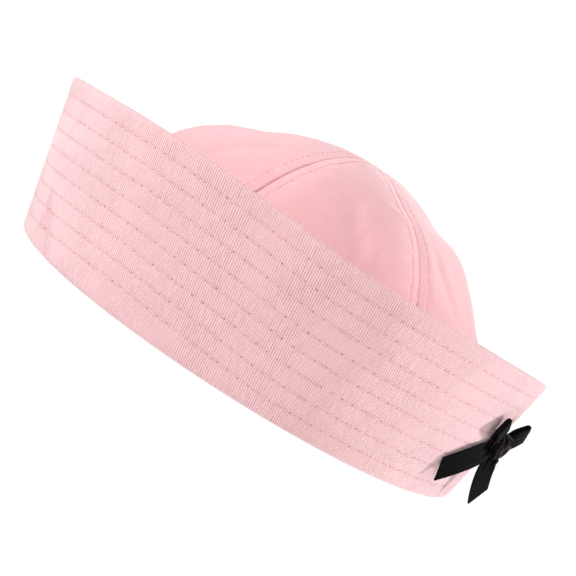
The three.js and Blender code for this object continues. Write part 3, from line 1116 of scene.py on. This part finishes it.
    def seam_relief(self, gore: int, seam: Array, from_seam: Array, z: Array) -> Array:
        """Relief beside a seam: the pressed allowance, the ditch, the stitches' groove and the puckers.

        Args:
            gore: which gore.
            seam: number of the nearer seam.
            from_seam: distance from it, in mm.
            z: how high.

        Returns:
            How far out the cloth stands.
        """
        bunched = 0.65 + 0.5 * ripple(z + 17 * gore, 37, 0.4 + seam)
        pull = ripple(z * 1.35 + 40 * seam, 9.5, 1.0 + gore) * bunched
        gaping = (0.75 + 0.35 * ripple(z + 23 * seam, 14, 0.9)) * smoothstep(79 - z, 0, 6)
        fine = ripple(z * 1.3 + 31 * seam, 3.6, 2.2)
        past_stitches = from_seam - self.stitch_line
        relief = self.allowance * (1 + 0.6 * pull) * smoothstep(0.2 - past_stitches, 0, 0.8)
        ditch = self.seam_ditch * lerp(0.15, 1.0, gaping)
        relief = relief - ditch * bell(from_seam, self.seam_ditch_half_width)
        relief = relief - self.stitch_groove * bell(past_stitches, 0.45)
        relief = relief + 0.1 * fine * bell(past_stitches + 0.5, 1.7)
        return relief + self.pucker * pull * bell(past_stitches - 1.8, 2.6)

    def crease(
        self,
        azimuth: Array,
        radius: Array,
        z: Array,
        half_width: float,
        path: tuple[tuple[float, float], ...],
    ) -> Array:
        """Form of a crease, from 0 away from it to 1 on its line.

        Args:
            azimuth: where on the crown.
            radius: radius of the plain form there.
            z: how high.
            half_width: of the crease, in mm.
            path: azimuths and heights that it runs through.

        Returns:
            The form at each place, fading out towards both ends of the path.
        """
        strength = np.zeros(np.broadcast(azimuth, z).shape)
        last = len(path) - 1
        for index, (start, end) in enumerate(zip(path, path[1:])):
            across = np.radians(turn(start[0], azimuth)) * radius
            up = z - start[1]
            step = (math.radians(turn(start[0], end[0])) * self.radius(*start), end[1] - start[1])
            length = step[0] ** 2 + step[1] ** 2
            share = np.clip((across * step[0] + up * step[1]) / length, 0, 1)
            distance = np.hypot(across - share * step[0], up - share * step[1])
            travelled = (index + share) / last
            fade = smoothstep(travelled, -0.02, 0.3) * smoothstep(1.02 - travelled, 0, 0.3)
            strength = np.maximum(strength, bell(distance, half_width) * (0.15 + 0.85 * fade))
        return strength

    def points(self, gore: int, share: Array, rise: Array) -> Array:
        """Points of the outer face.

        Args:
            gore: which gore.
            share: from the seam on its left, 0, to the one on its right, 1.
            rise: from the lower edge, 0, to the top, 1.

        Returns:
            The points, in mm.
        """
        z = self.level(rise)
        left = self.seam_azimuth(gore, z)
        span = (self.seam_azimuth(gore + 1, z) - left) % 360
        azimuth = left + span * share
        swell = self.swell(gore, share, azimuth, span, z)
        up_share = z / self.height
        radius = self.radius(azimuth, z) + swell * np.sqrt(1 - up_share**2)
        points = at_azimuth(azimuth, radius, z + swell * up_share)
        points[..., 0] += self.lean * up_share**2
        return points

    def width(self, gore: int, rise: Array) -> Array:
        """Width of a gore round the crown.

        Args:
            gore: which gore.
            rise: from the lower edge, 0, to the top, 1.

        Returns:
            The width, in mm.
        """
        z = self.level(rise)
        left = self.seam_azimuth(gore, z)
        span = (self.seam_azimuth(gore + 1, z) - left) % 360
        return np.radians(span) * self.radius(left + span / 2, z)

    def build_gore(self, gore: int, material: bpy.types.Material) -> bpy.types.Object:
        """Builds one gore, its columns closer together at its seams.

        Args:
            gore: which gore.
            material: its cloth.

        Returns:
            The gore.
        """
        rise = np.linspace(0, 1, self.rows + 1)
        width = self.width(gore, rise)
        fine = np.array(self.fine_columns)
        shrink = np.minimum(1, width / 2 / (fine[-1] + 4))
        near = fine[None] * shrink[:, None]
        shares = np.linspace(0, 1, self.even_columns + 1)[1:]
        far = lerp(near[:, -1:], (width / 2)[:, None], shares[None])
        half = np.concatenate([near, far], axis=1) / width[:, None]
        share = np.concatenate([half, 1 - half[:, -2::-1]], axis=1)
        points = self.points(gore, share, rise[:, None])
        up = distance_along(points[:, share.shape[1] // 2])[:, None]
        side = (share - 0.5) * width[:, None]
        lean = math.radians(self.gores[gore][3])
        across = side * math.cos(lean) + up * math.sin(lean)
        grain = np.stack([across, up * math.cos(lean) - side * math.sin(lean)], axis=-1)
        panel = cloth_grid(f"crown_gore_{gore + 1}", points, {GRAIN_UV: grain * MM})
        seal()
        self.thin_tip(panel)
        thicken(self.wall, -1)
        bpy.ops.object.shade_smooth()
        return settle(panel, material, Slot.CROWN_COTTON, f"crown_panel_{gore + 1}")

    def thin_tip(self, panel: bpy.types.Object) -> None:
        """Weights a gore's wall so that it thins out where the gores meet.

        Args:
            panel: the gore, still a sheet.
        """
        group = panel.vertex_groups.new(name=WALL_GROUP)
        for vertex in panel.data.vertices:
            away = math.hypot(vertex.co.x - self.lean * MM, vertex.co.y) / MM
            group.add([vertex.index], float(smoothstep(away, *self.tip_thins)), "REPLACE")

    def build_seam(self, gore: int, stitch: Stitch, material: bpy.types.Material) -> bpy.types.Object:
        """Sews the two rows of stitches along the seam on a gore's left.

        Args:
            gore: the gore on the seam's right.
            stitch: the stitch.
            material: the thread.

        Returns:
            The stitches of both rows.
        """
        starts: list[Array] = []
        ends: list[Array] = []
        outs: list[Array] = []
        for panel, side in ((gore, 1), ((gore - 1) % len(self.gores), -1)):
            rise = np.linspace(0.12, 0.97, 600)
            width = self.width(panel, rise)
            share = self.stitch_line / width
            path = self.points(panel, share if side > 0 else 1 - share, rise)
            travelled = distance_along(path)
            top = travelled[np.count_nonzero(width > self.least_stitched) - 1]
            marks = np.arange(0.3, top - self.stitch_length, self.stitch_length)

            def at(distance: Array) -> Array:
                """Points at a distance up the line."""
                return np.stack([np.interp(distance, travelled, values) for values in path.T], axis=-1)

            starts.append(at(marks + self.stitch_hidden))
            ends.append(at(marks + self.stitch_length - self.stitch_hidden))
            outs.append(unit(at(marks) - (0, 0, self.domed_from)))
        sewn = stitch.sew(
            f"crown_stitches_{gore + 1}", np.concatenate(starts), np.concatenate(ends), np.concatenate(outs)
        )
        return settle(sewn, material, Slot.CROWN_COTTON)

    def build(self) -> None:
        """Builds the gores and the stitches of their seams."""
        cloth = self.cloth.material()
        for gore in range(len(self.gores)):
            self.build_gore(gore, cloth)
        thread = self.thread.material()
        stitch = Stitch(diameter_mm=0.16)
        for gore in range(len(self.gores)):
            self.build_seam(gore, stitch, thread)


@dataclass(frozen=True)
class Loop:
    """A loop of the bow, from its root at the knot to its tip."""

    node: str
    root: Point
    tip: Point
    facing: Point


@dataclass(frozen=True)
class Tail:
    """A tail of the bow: its path, the way its face looks, and which edge its slanted cut is longer on."""

    node: str
    root: Point
    bend: Point
    end: Point
    facing: Point
    longer: int


@dataclass
class Bow:
    """The bow: two pinched loops, two tails cut on a slant, and the knot that holds them. Its places are
    (side, out, up), in mm, from the brim's wall at one azimuth and height."""

    velvet: VelvetRibbon
    # The knot's velvet, with painted highlight streaks
    highlit_velvet: VelvetRibbon
    brim: Brim
    azimuth: float = 61.5
    height: float = 29.0
    ribbon_width: float = 7.8
    ribbon_thickness: float = 0.8
    ribbon_rounding: float = 0.15
    clearance: float = 0.3
    knot_size: Point = (3.1, 3.4, 5.2)
    knot_raised: float = 0.6
    knot_roundness: float = 0.6
    knot_tilt: float = 14.0
    knot_folds: float = 0.26
    # Size of the ribbon wound round the knot, and how far it leans over each millimetre
    knot_cloth: tuple[float, float] = (22, 14)
    knot_slew: float = 0.35
    loop_radius: float = 0.75
    loop_bulge: float = 0.3
    loop_cupped: float = 0.2
    loop_pinch: float = 0.7
    loop_pinched_share: float = 0.4
    tail_pinch: float = 0.82
    tail_pinched_share: float = 0.3
    tail_tucked: float = 2.6
    slant: float = 0.5
    slanted_share: float = 0.3
    loops: tuple[Loop, ...] = (
        Loop("bow_loop_left", (-4.65, 3.0, 2.7), (-10.9, 3.5, 7.9), (0.1, 1, 0.15)),
        Loop("bow_loop_right", (3.95, 3.6, 2.25), (13.3, 4.3, 8.5), (-0.03, 1, 0)),
    )
    tails: tuple[Tail, ...] = (
        Tail(
            "bow_tail_left",
            root=(-2.55, 2.5, -3.7),
            bend=(-14.3, 4.9, -6.0),
            end=(-23.6, 1.05, -16.5),
            facing=(0.1, 0.9, 0.64),
            longer=-1,
        ),
        Tail(
            "bow_tail_right",
            root=(1.8, 4.9, -5.25),
            bend=(1.0, 5.9, -10.6),
            end=(9.8, 8.15, -19.0),
            facing=(-0.5, 0.95, 0.25),
            longer=1,
        ),
    )

    def flare(self) -> float:
        """How far the brim leans out behind the bow, in radians."""
        return float(np.radians(around(self.brim.sections, 1, np.array(self.azimuth))))

    def direction(self, measures: Array | Point) -> Array:
        """Directions in the hat's frame.

        Args:
            measures: directions as side, out and up from the brim's wall.

        Returns:
            The same directions in the hat's frame.
        """
        side, out, up = np.moveaxis(np.asarray(measures, float), -1, 0)
        sine, cosine = math.sin(self.flare()), math.cos(self.flare())
        away, rise = out * cosine + up * sine, up * cosine - out * sine
        return at_azimuth(self.azimuth, away, rise) + at_azimuth(self.azimuth + 90, side, 0.0)

    def place(self, measures: Array | Point) -> Array:
        """Bow measures as points in the hat's frame."""
        wall = self.brim.plan_radius(self.azimuth) + self.height * math.tan(self.flare())
        return at_azimuth(self.azimuth, wall, self.height) + self.direction(measures)

    def build_knot(self, material: bpy.types.Material) -> bpy.types.Object:
        """Builds the knot: a rounded block of wrapped ribbon, its folds running aslant.

        Args:
            material: the velvet.

        Returns:
            The knot.
        """
        deselect_all()
        bpy.ops.mesh.primitive_uv_sphere_add(segments=72, ring_count=48, radius=1)
        knot = bpy.context.active_object
        knot.name = knot.data.name = "bow_wrapped_knot"
        ball = np.array([vertex.co for vertex in knot.data.vertices])
        block = np.sign(ball) * np.abs(ball) ** self.knot_roundness
        side, out, up = block[:, 0], -block[:, 1], block[:, 2]
        front = smoothstep(out, -0.8, 0.1)
        aslant = up * 0.5 - side * 0.55 + out * 0.45
        folds = (self.knot_folds * np.abs(np.sin(3.9 * aslant + 0.4)) ** 0.7 - 0.12) * front
        width, depth, tall = self.knot_size
        side = side * width * (1 + folds)
        up = up * tall * (1 - 0.06 * np.abs(up)) + self.knot_raised
        out = depth * (1 + out * (0.97 + folds)) + self.clearance
        sine, cosine = math.sin(math.radians(self.knot_tilt)), math.cos(math.radians(self.knot_tilt))
        turned = np.stack([side * cosine - up * sine, out, side * sine + up * cosine], axis=-1)
        knot.data.vertices.foreach_set("co", (self.place(turned) * MM).astype(np.float32).ravel())
        layer = knot.data.uv_layers[0]
        layer.name = GRAIN_UV
        places = np.array([corner.uv for corner in layer.data]) * self.knot_cloth * MM
        places[:, 0] += self.knot_slew * places[:, 1]
        layer.uv.foreach_set("vector", places.astype(np.float32).ravel())
        knot.data.update()
        seal()
        bpy.ops.object.shade_smooth()
        return settle(knot, material, Slot.VELVET, "bow_knot")

    def build_ribbon(
        self, node: str, points: Array, side: Array, path: Array, material: bpy.types.Material
    ) -> bpy.types.Object:
        """Builds a piece of ribbon.

        Args:
            node: the solid that it stands for.
            points: rows along the ribbon by columns across it, in mm.
            side: for each column, how far to the side it lies, from -1 to 1.
            path: line that the rows follow.
            material: the velvet.

        Returns:
            The ribbon.
        """
        across = side[None] * self.ribbon_width / 2
        grain = np.stack(np.broadcast_arrays(across, distance_along(path)[:, None]), axis=-1) * MM
        ribbon = cloth_grid(f"{node}_ribbon", points, {GRAIN_UV: grain})
        seal()
        thicken(self.ribbon_thickness, 0, self.ribbon_rounding)
        bpy.ops.object.shade_smooth()
        return settle(ribbon, material, Slot.VELVET, node)

    def build_loop(self, loop: Loop, material: bpy.types.Material) -> bpy.types.Object:
        """Builds a loop: ribbon led out from the knot, round the tip and back, gathered at its root.

        Args:
            loop: its places.
            material: the velvet.

        Returns:
            The loop.
        """
        start, end = self.place(loop.root), self.place(loop.tip)
        length = float(np.linalg.norm(end - start))
        along = (end - start) / length
        across = unit(np.cross(along, self.direction(loop.facing)))
        out = np.cross(across, along)
        turns = []
        for angles, centre in (
            (np.linspace(100, 260, 12), self.loop_radius),
            (np.linspace(-85, 85, 14), length - self.loop_radius),
        ):
            angles = np.radians(angles)
            turns.append(np.stack([np.cos(angles), np.sin(angles)], -1) * self.loop_radius + (centre, 0))
        root, tip = turns
        shares = np.linspace(0, 1, 15)[1:-1, None]
        bulge = self.loop_bulge * np.sin(np.pi * shares) * (0, 1)
        there, back = lerp(root[-1], tip[0], shares) - bulge, lerp(tip[-1], root[0], shares) + bulge
        path = np.concatenate([root, there, tip, back, root[:1]])
        side = np.linspace(-1, 1, 25)
        outward = np.clip(path[:, 0] / length, 0, 1)
        spread = smoothstep(outward, 0, self.loop_pinched_share)
        half = self.ribbon_width / 2 * lerp(self.loop_pinch, 1.0, spread)
        gathers = lerp(0.3, 0.03, smoothstep(outward, 0.1, 0.8))[:, None] * np.sin(side * 9.5)[None]
        cupped = self.loop_cupped * (np.abs(side) ** 4)[None] * smoothstep(outward, 0.4, 1.0)[:, None]
        flattened = path[:, 1:2] * (1 - 0.25 * side**8)[None]
        points = (
            start
            + along * (path[:, :1, None] - cupped[..., None])
            + out * (flattened + gathers)[..., None]
            + across * (half[:, None] * side[None])[..., None]
        )
        return self.build_ribbon(loop.node, points, side, path, material)

    def build_tail(self, tail: Tail, material: bpy.types.Material) -> bpy.types.Object:
        """Builds a tail: ribbon tucked into the knot and pinched there, waving a little to its slanted end.

        Args:
            tail: its places.
            material: the velvet.

        Returns:
            The tail.
        """
        root, bend, end = (self.place(point) for point in (tail.root, tail.bend, tail.end))
        tucked = self.tail_tucked / 2 / float(np.linalg.norm(bend - root))
        t = np.linspace(-tucked, 1, 47)[:, None]
        path = (1 - t) ** 2 * root + 2 * (1 - t) * t * bend + t**2 * end
        along = unit((1 - t) * (bend - root) + t * (end - bend))
        across = unit(np.cross(along, self.direction(tail.facing)))
        normal = np.cross(across, along)
        side = np.linspace(-1, 1, 21)
        spread = smoothstep(t, 0, self.tail_pinched_share)
        half = self.ribbon_width / 2 * lerp(self.tail_pinch, 1.0, spread)
        slanted = tail.longer * self.slant * smoothstep(t, 1 - self.slanted_share, 1) * half * side
        gathers = lerp(0.25, 0.0, smoothstep(t, 0, 0.5)) * np.sin(side * 8) + 0.15 * side * np.sin(5.5 * t)
        points = (
            path[:, None]
            + across[:, None] * (half * side)[..., None]
            + along[:, None] * slanted[..., None]
            + normal[:, None] * gathers[..., None]
        )
        return self.build_ribbon(tail.node, points, side, path, material)

    def build(self) -> None:
        """Builds the knot, the loops and the tails."""
        velvet = self.velvet.material()
        # The knot's velvet has painted highlight streaks
        self.build_knot(self.highlit_velvet.material())
        for loop in self.loops:
            self.build_loop(loop, velvet)
        for tail in self.tails:
            self.build_tail(tail, velvet)


@dataclass(frozen=True)
class SoftLight:
    """A large soft light aimed at the hat."""

    name: str
    azimuth: float
    elevation: float
    distance: float
    size: float
    watts: float


@dataclass
class Studio:
    """The white floor and surroundings, the lights and the camera."""

    floor_radius: float = 14.0
    floor_glow: float = 1.1
    floor_albedo: float = 0.05
    low_sky: float = 1.1
    high_sky: float = 0.4
    right_sky: float = 0.22
    sky_dims_up: tuple[float, float] = (0.34, 0.72)
    sky_dims_right: tuple[float, float] = (0.3, 0.8)
    target: Point = (0.0, 0.0, 0.04)
    lights: tuple[SoftLight, ...] = (
        SoftLight("light_front", -12, 52, 1.6, 1.0, 12.5),
        SoftLight("light_right", 104, 4, 1.3, 0.18, 13.0),
        SoftLight("light_left", -100, 20, 1.5, 0.5, 8.0),
    )
    camera_place: Point = (-0.0110, -0.5470, 0.0689)
    camera_lens: float = 89.75
    camera_yaw: float = 1.38
    camera_pitch: float = 3.85
    camera_roll: float = 32.70

    def build_floor(self) -> None:
        """Adds the floor: a lit table, so bright that the camera sees it plain white."""
        deselect_all()
        bpy.ops.mesh.primitive_circle_add(
            vertices=96, radius=self.floor_radius, fill_type="NGON", location=(0, 0, -0.1 * MM)
        )
        floor = bpy.context.active_object
        floor.name = floor.data.name = "floor"
        material = bpy.data.materials.new("lit white table")
        add = emptied_tree(material)
        paper = add("BsdfDiffuse", {"Color": (*(self.floor_albedo,) * 3, 1.0)})[0]
        glow = add("Emission", {"Strength": self.floor_glow})[0]
        lit = add("AddShader", (paper, glow))[0]
        white = add("Emission", {"Strength": 1.0})[0]
        seen = add("LightPath")["Is Camera Ray"]
        add("OutputMaterial", (add("MixShader", (seen, lit, white))[0],))
        floor.data.materials.append(material)

    def build_world(self) -> None:
        """Adds the surroundings: white walls that dim overhead and to the right, plain white when seen."""
        world = bpy.data.worlds.new("white surroundings")
        add = emptied_tree(world)
        right, _, up = add("SeparateXYZ", (add("TexCoord")["Generated"],))
        rising = (up, *self.sky_dims_up, self.low_sky, self.high_sky)
        overhead = add("MapRange", rising, interpolation_type="SMOOTHSTEP")[0]
        rightward = (right, *self.sky_dims_right, 1.0, self.right_sky)
        beside = add("MapRange", rightward, interpolation_type="SMOOTHSTEP")[0]
        light = add("Math", (overhead, beside), operation="MULTIPLY")[0]
        seen = add("LightPath")["Is Camera Ray"]
        strength = add("Math", (light, seen), operation="MAXIMUM")[0]
        background = add("Background", {"Color": (1, 1, 1, 1), "Strength": strength})[0]
        add("OutputWorld", (background,))
        bpy.context.scene.world = world
        bpy.context.scene.view_settings.view_transform = "Standard"

    def build_lights(self) -> None:
        """Adds the lights."""
        for light in self.lights:
            lamp = bpy.data.lights.new(light.name, "AREA")
            lamp.shape = "DISK"
            lamp.size = light.size
            lamp.energy = light.watts
            holder = bpy.data.objects.new(light.name, lamp)
            bpy.context.collection.objects.link(holder)
            rise = math.radians(light.elevation)
            back = Vector(at_azimuth(light.azimuth, math.cos(rise), math.sin(rise)))
            holder.location = Vector(self.target) + back * light.distance
            holder.rotation_euler = back.to_track_quat("Z", "Y").to_euler()

    def build_camera(self) -> None:
        """Adds the camera, level with the brim and rolled to the right."""
        yaw, pitch, roll = (math.radians(a) for a in (self.camera_yaw, self.camera_pitch, self.camera_roll))
        ahead = Vector((math.sin(yaw) * math.cos(pitch), math.cos(yaw) * math.cos(pitch), -math.sin(pitch)))
        level_right = Vector((math.cos(yaw), -math.sin(yaw), 0))
        level_up = level_right.cross(ahead)
        right = level_right * math.cos(roll) + level_up * math.sin(roll)
        up = level_up * math.cos(roll) - level_right * math.sin(roll)
        data = bpy.data.cameras.new("camera")
        data.sensor_width = 36
        data.lens = self.camera_lens
        data.clip_start, data.clip_end = 0.02, 60
        camera = bpy.data.objects.new("camera", data)
        bpy.context.collection.objects.link(camera)
        turned = Matrix((right, up, -ahead)).transposed().to_4x4()
        camera.matrix_world = Matrix.Translation(Vector(self.camera_place)) @ turned
        bpy.context.scene.camera = camera

    def build(self) -> None:
        """Builds the camera, the floor, the surroundings and the lights."""
        self.build_camera()
        self.build_floor()
        self.build_world()
        self.build_lights()


def main() -> None:
    """Loads the frame and builds the hat's sub-assemblies and the studio, in order."""
    logging.basicConfig(level=logging.INFO, format="%(name)s %(message)s")
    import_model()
    Studio().build()
    thread = SewingThread("pink spun polyester thread", "#EBC0C5")
    # The groove colours of both cottons are painted shade between the ribs
    brim_cotton = RibbedCotton("ribbed brim cotton", "#F1CCCE", "#CE959A", rows=StitchRows(4.2, 6.42, 8))
    crown_cotton = RibbedCotton(
        "ribbed crown cotton", "#F2BCC0", "#E9AAB0", rib_mm=1.0, rib_depth_mm=0.08, groove_shade=0.85
    )
    brim = Brim(brim_cotton, thread)
    brim.build()
    crown_thread = SewingThread("deep pink spun polyester thread", "#F2B4B9")
    Crown(crown_cotton, crown_thread, brim).build()
    # Black velvet: its paler colour is painted sheen, and on the knot painted highlight streaks
    velvet = VelvetRibbon("black velvet ribbon", "#060506", "#121012")
    highlit_velvet = VelvetRibbon("pressed black velvet ribbon", "#070607", "#5A5257", 1.3, 0.35, (0.25, 0.36))
    Bow(velvet, highlit_velvet, brim).build()


if __name__ == "__main__":
    main()
